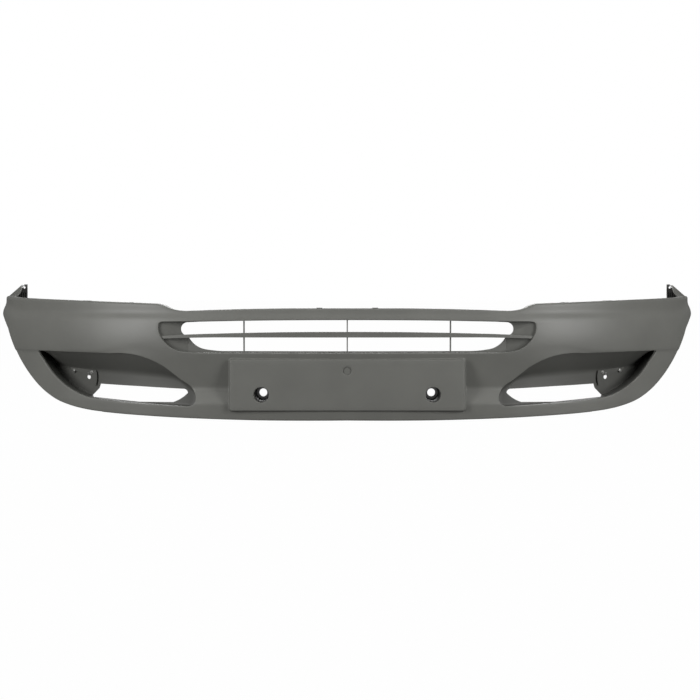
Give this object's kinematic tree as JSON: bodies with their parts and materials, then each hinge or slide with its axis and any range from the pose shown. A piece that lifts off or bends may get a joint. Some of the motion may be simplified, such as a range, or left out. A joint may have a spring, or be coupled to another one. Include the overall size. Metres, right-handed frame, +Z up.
{
  "type": "bumper cover",
  "caption": "Wide moulded front bumper cover with a slatted grille opening, two lamp pockets, a number plate plinth and two deep bolt wells.",
  "frame": {"origin": "midway between the two crossmember bolt seats, at the height of the bolt axes, on the rear faces of the bolt wells", "axes": "+X across the vehicle, to the right for someone who stands in front of the bumper; +Y to the rear of the vehicle, along the bolt axes; +Z up"},
  "size_m": [1.9294, 0.5067, 0.3441],
  "materials": {
    "moulded_grey": "fine moulded grain, satin, mid warm grey",
    "plinth_grey": "fine moulded grain, satin, mid warm grey",
    "plug_grey": "smooth moulded, satin, mid warm grey",
    "grille_grey": "fine moulded grain, mid warm grey",
    "pocket_grey": "fine moulded grain, mid warm grey",
    "moulded_dark": "moulded, matt, near black",
    "zinc_steel": "zinc plated, slightly dull",
    "spring_steel": "phosphated spring steel",
    "bush_steel": "zinc plated turned steel"
  },
  "bodies": {
    "root": {"bumper_skin": "moulded_grey", "plate_plinth": "plinth_grey", "plinth_plug": "plug_grey", "left_bolt_sleeve": "bush_steel", "right_bolt_sleeve": "bush_steel", "grille_frame": "grille_grey", "grille_blade": "grille_grey", "grille_upright_left": "grille_grey", "grille_upright_centre": "grille_grey", "grille_upright_right": "grille_grey", "left_lamp_pocket": "pocket_grey", "right_lamp_pocket": "pocket_grey", "left_lamp_bracket": "pocket_grey", "right_lamp_bracket": "pocket_grey", "left_lamp_nut_clip": "spring_steel", "right_lamp_nut_clip": "spring_steel", "left_wing_bracket": "moulded_dark", "right_wing_bracket": "moulded_dark", "grille_screws": "zinc_steel", "left_pocket_screws": "zinc_steel", "right_pocket_screws": "zinc_steel", "plinth_screws": "zinc_steel", "left_wing_rivets": "zinc_steel", "right_wing_rivets": "zinc_steel", "left_bracket_screws": "zinc_steel", "right_bracket_screws": "zinc_steel", "top_flange_clips": "spring_steel"}
  },
  "joints": []
}
